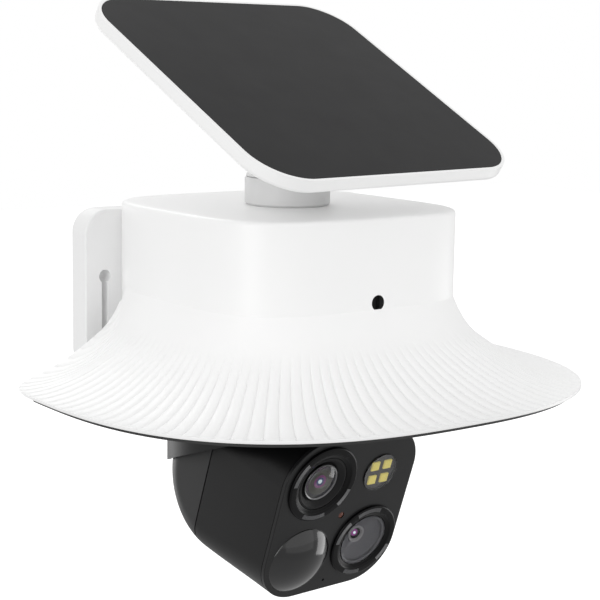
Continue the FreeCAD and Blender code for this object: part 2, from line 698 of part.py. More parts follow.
def make_turret():
    top = -val("disc_top")
    low = top - val("disc_thick")
    radius = val("turret_radius")
    disc = ring(radius, val("hub_radius") + 0.1, low, top)
    hood = ring(radius, radius - val("turret_wall"), low - 50, low)
    slope = block((-100, -150, -100), (100, 150, 0))
    slope.Placement = Placement(Vector(0, 11, -36.4), Rotation(X_AXIS, -19))
    hood = hood.cut(slope)
    hood = hood.cut(block((-100, -100, -100), (100, -30, 0)))
    shell = disc.fuse(hood)
    axis = Vector(0, val("tilt_axis_y"), -val("tilt_axis_drop"))
    for tilt in (0, 14, 28, 42):
        grown = head_body(0.9)
        grown.rotate(axis, X_AXIS, tilt)
        shell = largest(shell.cut(grown))
    shell = shell.cut([cylinder(1.3, low - 1, -4, 27 * math.cos(a), 27 * math.sin(a)) for a in quarter_turns()])
    feature("turret_shell", largest(shell), PAN)
    tilt_y = val("tilt_axis_y")
    tilt_z = -val("tilt_axis_drop")
    hub = cylinder(val("hub_radius"), low, GEAR_LOW)
    flange = cylinder(30, low - 1.5, low)
    neck = block((-10, tilt_y - 9, tilt_z), (10, tilt_y + 9, low - 1))
    eye = rod(11, -10, 10, tilt_y, tilt_z)
    yoke = hub.fuse([flange, neck, eye])
    cuts = [rod(val("shaft_radius"), -12, 12, tilt_y, tilt_z), cylinder(17, low + 3, 8)]
    cuts.append(cylinder(5, tilt_z + 16, 8, 0, tilt_y))
    cuts += [cylinder(1.1, 0.5, 8, 20.5 * math.cos(a), 20.5 * math.sin(a)) for a in quarter_turns()]
    cuts += [cylinder(1.3, low - 3, low + 0.5, 27 * math.cos(a), 27 * math.sin(a)) for a in quarter_turns()]
    feature("tilt_yoke", yoke.cut(cuts), PAN)
    gear_screws = [screw(20.5 * math.cos(a), 20.5 * math.sin(a), GEAR_HIGH, 8, -1.0, radius=1.05, head=2.3)
                   for a in quarter_turns()]
    disc_screws = [cylinder(1.1, low - 1.5, -4.2, 27 * math.cos(a), 27 * math.sin(a)) for a in quarter_turns()]
    feature("turret_screws", Part.makeCompound(gear_screws + disc_screws), PAN)
    shaft = rod(val("shaft_radius"), -23.5, 23.5)
    feature("tilt_shaft", shaft, TILT)


def largest(shape):
    """The biggest solid of a shape."""
    return max(shape.Solids, key=lambda solid: solid.Volume)


# ---------------------------------------------------------------- the camera head
HEAD_SCREWS = [(33.4, -24.5), (-33.4, -24.5), (33.4, -74.5), (-33.4, -74.5)]
LUG_INNER = 17.5
BUSH_WIDTH = 6
TILT_HEAD = head_point(0, val("tilt_axis_y"), -val("tilt_axis_drop"))
PINION_REACH = (val("tilt_teeth") + val("tilt_pinion_teeth")) * val("tilt_module") / 2


def in_head(shape):
    """A shape drawn in the head frame, moved to the pan frame."""
    shape.Placement = Placement(Vector(), FACE_TURN).multiply(shape.Placement)
    return shape


def slot_cut():
    """The slot that the yoke's neck needs while the head tilts under the turret."""
    middle = Vector(0, val("tilt_axis_y"), -val("tilt_axis_drop"))
    profile = block((-12, -0.5, 24), (12, 0.5, 52))
    section = Part.makePolygon([Vector(-12, 0, 24), Vector(12, 0, 24), Vector(12, 0, 52), Vector(-12, 0, 52),
                                Vector(-12, 0, 24)])
    face = Part.Face(section)
    face.translate(middle)
    face.rotate(middle, X_AXIS, 26)
    return face.revolve(middle, X_AXIS, -110)


def make_head_shells():
    wall = val("head_wall")
    outer = head_body()
    hollow = head_body(-wall, 8)
    seam = val("seam_reach")
    slot = slot_cut()
    shell = outer.cut(hollow).cut(slot)
    front = shell.common(seam_side(True, seam + 0.4))
    front = front.common(seam_side(False, val("face_reach") - val("face_thick") - val("face_line")))
    half = val("head_half")
    adds = []
    for side in (-1, 1):
        start = side * LUG_INNER
        span = side * (half - wall - 0.3 - LUG_INNER)
        lug = Part.makeCylinder(11, abs(span), Vector(min(start, start + span), TILT_HEAD.y, TILT_HEAD.z), X_AXIS)
        adds.append(in_head(lug))
        root = Part.makeCylinder(11, wall + 1, Vector(side * (half - wall) - wall / 2 - 0.5, TILT_HEAD.y, TILT_HEAD.z),
                                 X_AXIS)
        adds.append(in_head(root).common(seam_side(True, seam + 0.4)).common(outer))
    for x, y in HEAD_SCREWS:
        adds.append(in_head(cylinder(4, seam + 0.4, 22, x, y)).common(outer))
    ledge = ledge_ring()
    front = front.fuse(adds + [ledge])
    cuts = []
    for side in (-1, 1):
        start = min(side * LUG_INNER, side * (LUG_INNER + BUSH_WIDTH))
        bush = Part.makeCylinder(7, BUSH_WIDTH, Vector(start, TILT_HEAD.y, TILT_HEAD.z), X_AXIS)
        cuts.append(in_head(bush))
    cuts += [in_head(cylinder(1.2, seam - 1, 19, x, y)) for x, y in HEAD_SCREWS]
    feature("front_housing", largest(front.cut(cuts)), PAN)

    rear = shell.common(seam_side(False, seam - 0.4))
    posts = [in_head(cylinder(4, -60, seam - 0.4, x, y)).common(outer) for x, y in HEAD_SCREWS]
    rear = rear.fuse(posts)
    bores = [in_head(cylinder(3, -60, -2, x, y)) for x, y in HEAD_SCREWS]
    bores += [in_head(cylinder(1.4, -3, seam + 1, x, y)) for x, y in HEAD_SCREWS]
    feature("rear_cover", largest(rear.cut(bores)), PAN)

    band = head_body(-0.7).cut(head_body(-2)).cut(slot)
    band = band.common(seam_side(True, seam - 0.4)).common(seam_side(False, seam + 0.4))
    band = band.cut([in_head(cylinder(1.6, 0, 12, x, y)) for x, y in HEAD_SCREWS])
    feature("head_seal", band, PAN)
    screws = [in_head(screw(x, y, -2, 18, 1.0, radius=1.15, head=2.6)) for x, y in HEAD_SCREWS]
    feature("head_screws", Part.makeCompound(screws), PAN)


def ledge_ring():
    """The step inside the head's mouth that the face panel rests on."""
    reach = val("face_reach")
    band = head_body(-0.5).cut(head_body(-val("head_wall") - 1.2, 6))
    return band.common(seam_side(True, reach - 5.6)).common(seam_side(False, reach - 2.3))


# places on the face, across and up from its centre
WIDE_SPOT = (-17.4, 19.3)
TELE_SPOT = (18.9, -19.4)
LED_SPOT = (17.8, 18.9)
PIR_SPOT = (-19.3, -22.6)
STATUS_SPOT = (0.2, -1.6)
MIC_SPOT = (-0.2, -38.2)
PANEL_THICK = 3


def on_face(spot_xy, level=0.0):
    """The frame of a piece that stands on the face."""
    return FACE * Placement(Vector(spot_xy[0], spot_xy[1], level), Rotation())


def make_face_panel():
    reach = val("face_reach")
    slab = head_body().common(seam_side(True, reach - val("face_thick")))
    rim = [edge for edge in slab.Edges if in_face_plane(edge)]
    slab = slab.makeFillet(0.4, rim)
    cuts = []
    for (x, y), radius in ((WIDE_SPOT, 13.6), (TELE_SPOT, 13.6), (LED_SPOT, 9.3), (PIR_SPOT, 13),
                           (STATUS_SPOT, 1.7), (MIC_SPOT, 0.7)):
        cuts.append(in_head(cylinder(radius, reach - 6, reach + 2, x, y - val("face_centre"))))
    feature("face_panel", slab.cut(cuts), PAN)


def in_face_plane(edge):
    """Whether an edge of the head lies in the plane of the face."""
    out = FACE_TURN.multVec(Z_AXIS)
    ends = [edge.valueAt(edge.FirstParameter), edge.valueAt(edge.LastParameter), edge.CenterOfMass]
    return all(abs(end.dot(out) - val("face_reach")) < 0.01 for end in ends)


def make_lenses():
    ring_profile = [("dims.lens_bore + 0.3", "0"), ("dims.lens_ring_radius", "0"), ("dims.lens_ring_radius", "0.9"),
                    ("dims.lens_ring_radius - 0.6", "1.4"), ("dims.lens_ring_radius - 3.6", "1.4"),
                    ("dims.lens_bore + 0.3", "0.4")]
    turned("wide_lens_ring", ring_profile, on_face(WIDE_SPOT))
    turned("tele_lens_ring", ring_profile, on_face(TELE_SPOT))
    wide = [("0", "0"), ("dims.lens_bore", "0"), ("dims.lens_bore", "13.4"), ("12.6", "13.4"), ("9.6", "10.8"),
            ("9.35", "10.8"), ("9.35", "8"), ("6", "8"), ("6", "2"), ("0", "2")]
    turned("wide_lens_barrel", wide, on_face(WIDE_SPOT, -13.2))
    glass = [("0", "0"), ("9.3", "0"), ("9.3", "2.6"), ("8", "3.5"), ("6", "4.3"), ("3", "4.8"), ("0", "5")]
    turned("wide_lens_glass", glass, on_face(WIDE_SPOT, -5.2))
    tele = [("0", "0"), ("dims.lens_bore", "0"), ("dims.lens_bore", "12.6"), ("12.2", "12.6"), ("12.2", "6"),
            ("3.5", "6"), ("3.5", "2"), ("0", "2")]
    turned("tele_lens_barrel", tele, on_face(TELE_SPOT, -13.2))
    plate("tele_lens_glass", [("0", "0", "13.2")], "1", on_face(TELE_SPOT, -0.6))
    plate("tele_lens_element", [("0", "0", "3.45")], "3.4", on_face(TELE_SPOT, -11.2))
    plate("camera_board", rectangle("31", "34"), "1.4", FACE * Placement(Vector(0, 1, -14.6), Rotation()),
          rounding="9")


def make_sensors():
    radius = val("pir_radius")
    rise = 6.5
    sphere = (radius ** 2 + rise ** 2) / (2 * rise)
    ball = Part.makeSphere(sphere, Vector(0, 0, rise - sphere))
    inner = Part.makeSphere(sphere - 1, Vector(0, 0, rise - sphere))
    dome = ball.cut(inner).common(block((-30, -30, 0), (30, 30, 10)))
    feature("pir_lens", dome, on_face(PIR_SPOT))
    can = [("0", "0"), ("4.6", "0"), ("4.6", "0.8"), ("4.1", "0.8"), ("4.1", "4.5"), ("0", "4.5")]
    turned("pir_sensor", can, on_face(PIR_SPOT, -13.2))
    plate("led_board", [("0", "0", "9.1")], "1", on_face(LED_SPOT, -1.9))
    chips = []
    for x in (-3.7, 3.7):
        for y in (-3.7, 3.7):
            chips.append(block((x - 2.2, y - 2.2, 0), (x + 2.2, y + 2.2, 0.8)))
    feature("led_chips", Part.makeCompound(chips), on_face(LED_SPOT, -0.9))
    plate("led_window", [("0", "0", "dims.led_radius")], "0.6", on_face(LED_SPOT))
    dot = [("0", "0"), ("1.6", "0"), ("1.6", "3.2"), ("0", "3.6")]
    turned("status_led", dot, on_face(STATUS_SPOT, -3.6))
    plate("microphone", [("0", "0", "1.3")], "1.6", on_face(MIC_SPOT, -4.4))


def make_tilt_drive():
    module = val("tilt_module")
    along_x = Rotation(Y_AXIS, 90)
    tilt = val("face_tilt")
    # seen along +X the fixed gear is centred on the shaft; the pinion sits out along the face normal
    gear = spur_gear(int(val("tilt_teeth")), module, val("shaft_radius"), 0, 4)
    aim = Vector(0, -math.cos(math.radians(tilt)), -math.sin(math.radians(tilt)))
    towards = Placement(Vector(10.2, 0, 0), frame_with_x(aim))
    holes = [cylinder(4, -1, 5, 12 * math.cos(a), 12 * math.sin(a)) for a in quarter_turns()]
    feature("tilt_gear", gear.cut(holes), TILT * towards)
    step = 360 / val("tilt_pinion_teeth")
    pinion = spur_gear(int(val("tilt_pinion_teeth")), module, 1.5, 0, 4, 180 + step / 2)
    centre = aim * PINION_REACH
    at = TILT * Placement(centre + Vector(10.2, 0, 0), frame_with_x(aim))
    feature("tilt_pinion", pinion, at)
    motor = cylinder(11, 5.2, 26.7).fuse(cylinder(1.45, 0, 5.2))
    motor = motor.fuse(cylinder(4, 4.6, 5.2))
    feature("tilt_motor", motor, at)
    bushes = [rod(7, LUG_INNER, LUG_INNER + BUSH_WIDTH), rod(7, -LUG_INNER - BUSH_WIDTH, -LUG_INNER)]
    bore = rod(val("shaft_radius") + val("running_gap"), -40, 40)
    feature("tilt_bushes", Part.makeCompound([bush.cut(bore) for bush in bushes]), TILT)


def frame_with_x(aim):
    """The rotation whose local Z is the part's X and whose local X points along aim."""
    z_way = X_AXIS
    y_way = z_way.cross(aim)
    matrix = FreeCAD.Matrix(aim.x, y_way.x, z_way.x, 0, aim.y, y_way.y, z_way.y, 0,
                            aim.z, y_way.z, z_way.z, 0, 0, 0, 0, 1)
    return FreeCAD.Placement(matrix).Rotation


# ---------------------------------------------------------------- the swivel and the solar panel
def make_swivel():
    base = [("6", "0"), ("dims.swivel_radius - 1", "0"), ("dims.swivel_radius", "1"),
            ("dims.swivel_radius", "dims.swivel_height - 0.6"), ("dims.swivel_radius - 0.6", "dims.swivel_height"),
            ("6", "dims.swivel_height")]
    turned("swivel_base", base, SWIVEL)
    height = val("swivel_height")
    top = val("box_height")
    screws = []
    for index in range(3):
        angle = math.radians(90 + 120 * index)
        screws.append(screw(12 * math.cos(angle), 12 * math.sin(angle), top - val("shell_wall"), 2.6, 1.0,
                            radius=1.5, head=2.8))
    feature("swivel_screws", Part.makeCompound(screws), BOX)
    radius = val("neck_radius")
    foot = val("swivel_radius") - 0.7
    low = height + 0.3
    flare = 6
    bend = Part.Arc(Vector(foot, 0, low + 1), Vector(radius + 0.9, 0, low + 3), Vector(radius, 0, low + flare)).toShape()
    side = [
        Part.makeLine(Vector(0, 0, low), Vector(foot, 0, low)),
        Part.makeLine(Vector(foot, 0, low), Vector(foot, 0, low + 1)),
        bend,
        Part.makeLine(Vector(radius, 0, low + flare), Vector(radius, 0, low + 11)),
        Part.makeLine(Vector(radius, 0, low + 11), Vector(0, 0, low + 11)),
        Part.makeLine(Vector(0, 0, low + 11), Vector(0, 0, low)),
    ]
    neck = Part.Face(Part.Wire(side)).revolve(Vector(), Z_AXIS, 360)
    pivot = height + val("pivot_rise")
    half = val("eye_width") / 2
    tongue = block((-half, -val("eye_radius"), low + 8), (half, val("eye_radius"), pivot))
    eye = rod(val("eye_radius"), -half, half, 0, pivot)
    stub = cylinder(5.95, -6.5, low)
    neck = neck.fuse([tongue, eye, stub])
    neck = neck.cut(rod(val("hinge_radius") + val("running_gap"), -20, 20, 0, pivot))
    feature("swivel_neck", neck, SWIVEL)
    wall = val("shell_wall")
    feature("swivel_nut", ring(8.6, 5.95, -wall - 3.2, -wall - 0.3), SWIVEL)


def make_panel():
    rise = val("panel_rise")
    depth = val("panel_depth")
    width = val("panel_width")
    length = val("panel_height")
    tray = rounded_block(width, length, rise - depth, rise, val("panel_corner"))
    low_edges = [edge for edge in tray.Edges if edge.BoundBox.ZMax < rise - depth + 0.01]
    tray = tray.makeFillet(2.4, low_edges)
    margin = val("glass_margin")
    step = val("glass_thick") + val("cell_thick")
    tray = tray.cut(rounded_block(width - 2 * margin, length - 2 * margin, rise - step, rise + 1,
                                  val("panel_corner") - margin))
    under = rounded_block(width - 8, length - 8, rise - depth - 1, rise - step - 1.8, val("panel_corner") - 4)
    boss = block((-26, -21, rise - depth - 2), (26, 21, rise))
    tray = tray.cut(under.cut(boss))
    screw_spots = [(20, 15), (-20, 15), (20, -15), (-20, -15)]
    tray = tray.cut([cylinder(1.1, rise - depth - 1, rise - 3, x, y) for x, y in screw_spots])
    feature("panel_frame", tray, PANEL)
    cells = rounded_block(width - 2 * margin - 0.4, length - 2 * margin - 0.4, rise - step,
                          rise - val("glass_thick"), val("panel_corner") - margin - 0.2)
    feature("solar_cells", cells, PANEL)
    body = plate("panel_glass", rectangle("dims.panel_width / 2 - dims.glass_margin - 0.2",
                                          "dims.panel_height / 2 - dims.glass_margin - 0.2"),
                 "dims.glass_thick", PANEL * Placement(Vector(0, 0, rise - val("glass_thick")), Rotation()),
                 rounding="dims.panel_corner - dims.glass_margin - 0.2")
    base = block((-25, -20, rise - depth - 3), (25, 20, rise - depth))
    base = base.makeFillet(5, [edge for edge in base.Edges if is_upright(edge)])
    half = val("eye_width") / 2 + 0.3
    cheeks = []
    for side in (-1, 1):
        inner = side * half
        outer = side * (half + 4)
        cheek = block((min(inner, outer), -8, 0), (max(inner, outer), 8, rise - depth - 2))
        cheeks.append(cheek.fuse(rod(8, min(inner, outer), max(inner, outer))))
    bracket = base.fuse(cheeks).cut(rod(val("hinge_radius") + val("running_gap"), -20, 20))
    bracket = bracket.cut([cylinder(1.6, 0, rise, x, y) for x, y in screw_spots])
    feature("panel_bracket", bracket, PANEL)
    seat = rise - depth - 3
    feature("bracket_screws", Part.makeCompound([screw(x, y, seat, 6, 1.0, radius=1.05, head=2.4)
                                                 for x, y in screw_spots]), PANEL)
    reach = half + 4.1
    bolt = rod(val("hinge_radius"), -reach, reach + 4.2).fuse(rod(5.6, -reach - 3, -reach))
    feature("hinge_bolt", bolt, PANEL)
    nut = Part.Face(Part.makePolygon([Vector(reach, 5.6 * math.cos(a), 5.6 * math.sin(a)) for a in sixths()]))
    nut = nut.extrude(Vector(4, 0, 0)).cut(rod(val("hinge_radius"), 0, 40))
    feature("hinge_nut", nut, PANEL)
    return body


def sixths():
    return [math.radians(60 * index) for index in range(7)]


def rounded_block(width, length, low, high, corner):
    solid = block((-width / 2, -length / 2, low), (width / 2, length / 2, high))
    return solid.makeFillet(corner, [edge for edge in solid.Edges if is_upright(edge)])


# ---------------------------------------------------------------- build, check and write
make_housing()
make_wall_plate()
make_bottom_cover()
make_cover_seal()
make_fixed_screws()
make_battery()
make_boards()
make_ports()
make_pan_drive()
make_turret()
make_head_shells()
make_face_panel()
make_lenses()
make_sensors()
make_tilt_drive()
make_swivel()
make_panel()
doc.recompute()

for item in doc.Objects:
    broken = [state for state in item.State if state in ("Invalid", "Error")]
    if broken:
        raise RuntimeError(f"{item.Label} is {broken}")
for item in PARTS:
    if item.Shape.isNull() or not item.Shape.isValid():
        raise RuntimeError(f"{item.Label} has no valid shape")

os.makedirs("parts", exist_ok=True)
for item in PARTS:
    item.Shape.exportStep(f"parts/{item.Label}.step")
    print(item.Label, len(item.Shape.Solids), round(item.Shape.Volume, 1))
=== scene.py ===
"""Looks of the solar security camera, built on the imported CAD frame."""
import json
import math

import bmesh
import bpy
from mathutils import Matrix, Vector


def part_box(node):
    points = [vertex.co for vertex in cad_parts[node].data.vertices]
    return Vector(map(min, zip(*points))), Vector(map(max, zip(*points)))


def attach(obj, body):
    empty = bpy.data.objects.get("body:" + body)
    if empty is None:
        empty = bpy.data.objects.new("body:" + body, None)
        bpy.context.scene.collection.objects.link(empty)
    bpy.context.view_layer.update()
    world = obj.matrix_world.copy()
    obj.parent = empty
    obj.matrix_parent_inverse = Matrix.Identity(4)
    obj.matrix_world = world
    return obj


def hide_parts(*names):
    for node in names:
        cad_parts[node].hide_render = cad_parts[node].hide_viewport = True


MM = 0.001
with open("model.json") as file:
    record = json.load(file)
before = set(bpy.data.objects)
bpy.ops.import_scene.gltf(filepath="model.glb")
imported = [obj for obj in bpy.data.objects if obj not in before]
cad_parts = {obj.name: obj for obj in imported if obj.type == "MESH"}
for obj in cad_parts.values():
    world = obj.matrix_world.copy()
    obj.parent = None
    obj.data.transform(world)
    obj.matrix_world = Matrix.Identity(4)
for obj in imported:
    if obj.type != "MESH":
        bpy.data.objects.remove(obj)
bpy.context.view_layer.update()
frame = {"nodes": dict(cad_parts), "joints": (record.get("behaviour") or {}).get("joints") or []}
nodes = frame["nodes"]

# ---------------------------------------------------------------- sizes of the model, in millimetres and degrees
# the housing's upright axis and its rim plane are the origin of the BOX frame
pan_joint = next(joint for joint in frame["joints"] if joint["name"] == "head_pan")
REACH = -pan_joint["pos_m"][1] / MM
DROP = -pan_joint["pos_m"][2] / MM
_, shell_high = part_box("housing_shell")
RIM_HALF = shell_high[0] / MM
BOX_TOP = shell_high[2] / MM + DROP
# the box and the rim are superellipses: half widths and powers
BOX_HALF = 67.2
BOX_POWER = 3.86
RIM_POWER = 2.59
# the flare between them, and the upright lip at its rim
FLARE_TOP = 31.2
LIP = 1.4
COVE_SHARE = 0.2
COVE_RISE = 8.5
COVE_POWER = 2.6
# where the skirt and the box end at the back, and the top of the wall plate
SKIRT_BACK = 41.5
SKIRT_CORNER = 24.0
SKIRT_SIDE = 0.992
BOX_BACK = 64.0
PLATE_TOP = 76.6
BOX_ROUNDING = 2.0
# the flutes: spacing along the rim, depth, how narrow the valleys are, and where they fade out on the way up
FLUTE_PITCH = 6.9
FLUTE_DEPTH = 1.15
FLUTE_POWER = 0.45
FADE_IN = 0.05
FADE_START = 0.66
FADE_SPAN = 0.24
# the mesh of the skirt and the box
FLUTE_STEPS = 10
SKIRT_ROWS = 46
BOX_SIDES = 256
# the camera head's face and the solar panel
PAN_TURN = 2.75
FACE_TILT = 18.76
FACE_REACH = 60.8
FACE_CENTRE = 42.5
PANEL_YAW = 7.77
PANEL_TILT = 29.85
PIVOT_RISE = 37.5
CELL_PITCH = 26
CELL_GAP = 0.25


def turn(axis, angle):
    return Matrix.Rotation(math.radians(angle), 4, axis)


def shift(x, y, z):
    return Matrix.Translation((x, y, z))


BOX = shift(0, -REACH, -DROP)
FACE = BOX @ turn("Z", PAN_TURN) @ turn("X", 90 + FACE_TILT) @ shift(0, -FACE_CENTRE, FACE_REACH)
PANEL = BOX @ shift(0, 0, BOX_TOP) @ turn("Z", PANEL_YAW) @ shift(0, 0, PIVOT_RISE) @ turn("X", PANEL_TILT)
WIDE = FACE @ shift(-17.4, 19.3, 0)
TELE = FACE @ shift(18.9, -19.4, 0)
PIR = FACE @ shift(-19.3, -22.6, 0)


# ---------------------------------------------------------------- materials
def material(name, colour, rough, grain=0.0, grain_size=0.4, vary=0.03, coat=0.0, metal=0.0, specular=0.5,
             clear=0.0, ior=1.5):
    """A procedural surface: mottled colour and roughness, and a fine moulded or ground grain."""
    mat = bpy.data.materials.new(name)
    mat.use_nodes = True
    tree = mat.node_tree
    shader = tree.nodes["Principled BSDF"]
    coords = tree.nodes.new("ShaderNodeTexCoord")
    mottle = tree.nodes.new("ShaderNodeTexNoise")
    mottle.inputs["Scale"].default_value = 60
    mottle.inputs["Detail"].default_value = 4
    tree.links.new(coords.outputs["Object"], mottle.inputs["Vector"])
    tint = tree.nodes.new("ShaderNodeMix")
    tint.data_type = "RGBA"
    tint.inputs["A"].default_value = [min(1, part * (1 - vary)) for part in colour] + [1]
    tint.inputs["B"].default_value = [min(1, part * (1 + vary)) for part in colour] + [1]
    tree.links.new(mottle.outputs["Fac"], tint.inputs["Factor"])
    tree.links.new(tint.outputs["Result"], shader.inputs["Base Color"])
    spread = tree.nodes.new("ShaderNodeMapRange")
    spread.inputs["To Min"].default_value = max(0.02, rough - 0.04)
    spread.inputs["To Max"].default_value = min(1, rough + 0.04)
    tree.links.new(mottle.outputs["Fac"], spread.inputs["Value"])
    tree.links.new(spread.outputs["Result"], shader.inputs["Roughness"])
    if grain:
        fine = tree.nodes.new("ShaderNodeTexNoise")
        fine.inputs["Scale"].default_value = 1 / (grain_size * MM)
        fine.inputs["Detail"].default_value = 3
        tree.links.new(coords.outputs["Object"], fine.inputs["Vector"])
        bump = tree.nodes.new("ShaderNodeBump")
        bump.inputs["Strength"].default_value = grain
        bump.inputs["Distance"].default_value = 0.05 * MM
        tree.links.new(fine.outputs["Fac"], bump.inputs["Height"])
        tree.links.new(bump.outputs["Normal"], shader.inputs["Normal"])
    shader.inputs["Metallic"].default_value = metal
    shader.inputs["Specular IOR Level"].default_value = specular
    shader.inputs["Coat Weight"].default_value = coat
    shader.inputs["Coat Roughness"].default_value = 0.08
    shader.inputs["Transmission Weight"].default_value = clear
    shader.inputs["IOR"].default_value = ior
    return mat


WHITE = material("white_moulded_plastic", (0.93, 0.93, 0.928), 0.38, grain=0.25, grain_size=0.5, vary=0.006)
PLATE = material("plate_plastic", (0.86, 0.86, 0.86), 0.5, grain=0.3, grain_size=0.5, vary=0.01)
GREY = material("grey_moulded_plastic", (0.66, 0.66, 0.66), 0.5, grain=0.4, grain_size=0.4, vary=0.03)
BLACK = material("black_satin_plastic", (0.004, 0.004, 0.0043), 0.36, grain=0.2, grain_size=0.35, vary=0.06,
                 specular=0.27)
REAR = material("black_rear_plastic", (0.014, 0.014, 0.0145), 0.4, grain=0.2, grain_size=0.35, vary=0.06,
                specular=0.42)
HOOD = material("hood_plastic", (0.008, 0.008, 0.0083), 0.42, grain=0.3, grain_size=0.35, vary=0.06,
                specular=0.36)
FRONT = material("face_plastic", (0.010, 0.010, 0.0105), 0.33, grain=0.08, grain_size=0.4, vary=0.05,
                 specular=0.3)
COVER = material("underside_plastic", (0.02, 0.02, 0.02), 0.55, grain=0.6, grain_size=0.5, vary=0.1)
RING = material("lens_ring_plastic", (0.0025, 0.0025, 0.0028), 0.24, grain=0.1, grain_size=0.3, vary=0.05,
                specular=0.15)
TRIM = material("ribbed_trim", (0.075, 0.075, 0.078), 0.35, grain=0.6, grain_size=0.25, vary=0.15)
MOUNT = material("led_mount", (0.05, 0.05, 0.052), 0.4, grain=0.6, grain_size=0.4, vary=0.2)
DEEP = material("lens_black", (0.004, 0.004, 0.0045), 0.5, grain=0.2, grain_size=0.2, vary=0.1,
                specular=0.25)
RUBBER = material("rubber", (0.02, 0.02, 0.02), 0.75, grain=0.8, grain_size=0.3, vary=0.1)
STEEL = material("steel", (0.62, 0.62, 0.63), 0.32, grain=0.3, grain_size=0.15, vary=0.05, metal=1.0)
ALLOY = material("motor_case", (0.7, 0.7, 0.7), 0.4, grain=0.3, grain_size=0.2, vary=0.05, metal=1.0)
BOARD = material("circuit_board", (0.012, 0.10, 0.045), 0.4, grain=0.5, grain_size=0.8, vary=0.2)
RESIN = material("gear_resin", (0.78, 0.77, 0.72), 0.45, grain=0.2, grain_size=0.4, vary=0.03)
WRAP = material("cell_wrap", (0.03, 0.16, 0.45), 0.3, grain=0.1, grain_size=0.6, vary=0.06)
DOME = material("infrared_dome", (0.011, 0.011, 0.0115), 0.12, grain=0.05, grain_size=0.6, vary=0.08,
                coat=0.55, specular=0.35)
# the phosphor's yellow is its own colour; the faint glow given to it below is painted light
PHOSPHOR_PAINTED_GLOW = material("led_phosphor_painted_glow", (0.80, 0.66, 0.10), 0.4, grain=0.6, grain_size=0.3, vary=0.18)
CLEAR = material("clear_window", (0.9, 0.9, 0.92), 0.05, vary=0.01, clear=1.0, ior=1.45)
SMOKE = material("smoked_dish", (0.14, 0.14, 0.145), 0.45, grain=0.05, grain_size=0.5, vary=0.06, specular=0.2)
THIN = material("tele_cover_glass", (0.9, 0.9, 0.92), 0.04, vary=0.01, clear=1.0, ior=1.16, specular=0.3)
HALO = material("pupil_halo", (0.26, 0.255, 0.25), 0.3, vary=0.12, coat=0.2)
AMBER = material("status_lens", (0.12, 0.035, 0.02), 0.25, grain=0.2, grain_size=0.3, vary=0.15)
OLIVE = material("coating_olive", (0.17, 0.165, 0.12), 0.12, vary=0.2, coat=0.6)
VIOLET = material("coating_violet", (0.42, 0.06, 0.36), 0.12, vary=0.25, coat=0.6)
INDIGO = material("coating_indigo", (0.09, 0.08, 0.38), 0.1, vary=0.2, coat=0.6)
# painted glint: a pale blue-white disc that glows a little at the centre of each pupil, standing in for the
# reflection of the lights
PAINTED_GLINT = material("pupil_painted_glint", (0.72, 0.85, 0.88), 0.2, vary=0.1, coat=0.6)
GLASS_GREY = material("lens_element_grey", (0.11, 0.11, 0.115), 0.12, vary=0.08, coat=0.7)


def solar_material():
    """Dark cells under matt glass, faintly varying in tone from cell to cell, with barely visible gaps between
    them.
    """
    mat = material("solar_glass", (0.014, 0.014, 0.0145), 0.42, grain=0.15, grain_size=0.5, vary=0.02,
                   specular=0.12)
    tree = mat.node_tree
    shader = tree.nodes["Principled BSDF"]
    tint = next(node for node in tree.nodes if node.bl_idname == "ShaderNodeMix")
    coords = next(node for node in tree.nodes if node.bl_idname == "ShaderNodeTexCoord")
    lay = tree.nodes.new("ShaderNodeMapping")
    lay.inputs["Rotation"].default_value = PANEL.to_3x3().inverted().to_euler("XYZ")
    tree.links.new(coords.outputs["Object"], lay.inputs["Vector"])
    cells = tree.nodes.new("ShaderNodeTexBrick")
    cells.offset = 0
    cells.inputs["Scale"].default_value = 1
    cells.inputs["Brick Width"].default_value = CELL_PITCH * MM
    cells.inputs["Row Height"].default_value = CELL_PITCH * MM
    cells.inputs["Mortar Size"].default_value = CELL_GAP * MM
    cells.inputs["Mortar Smooth"].default_value = 0.4
    cells.inputs["Color1"].default_value = (1, 1, 1, 1)
    cells.inputs["Color2"].default_value = (0.985, 0.985, 0.99, 1)
    cells.inputs["Mortar"].default_value = (0.93, 0.93, 0.93, 1)
    tree.links.new(lay.outputs["Vector"], cells.inputs["Vector"])
    shade = tree.nodes.new("ShaderNodeMix")
    shade.data_type = "RGBA"
    shade.blend_type = "MULTIPLY"
    shade.inputs["Factor"].default_value = 1
    tree.links.new(tint.outputs["Result"], shade.inputs["A"])
    tree.links.new(cells.outputs["Color"], shade.inputs["B"])
    tree.links.new(shade.outputs["Result"], shader.inputs["Base Color"])
    return mat


SOLAR = solar_material()
# painted light: the LED phosphor gets a faint painted glow and the pupils a painted glint, both as emission, so
# that both show through their glass
for lit, colour, strength in ((PHOSPHOR_PAINTED_GLOW, (1.0, 0.86, 0.25, 1), 0.3), (PAINTED_GLINT, (0.8, 0.95, 1.0, 1), 0.45)):
    lit_shader = lit.node_tree.nodes["Principled BSDF"]
    lit_shader.inputs["Emission Color"].default_value = colour
    lit_shader.inputs["Emission Strength"].default_value = strength

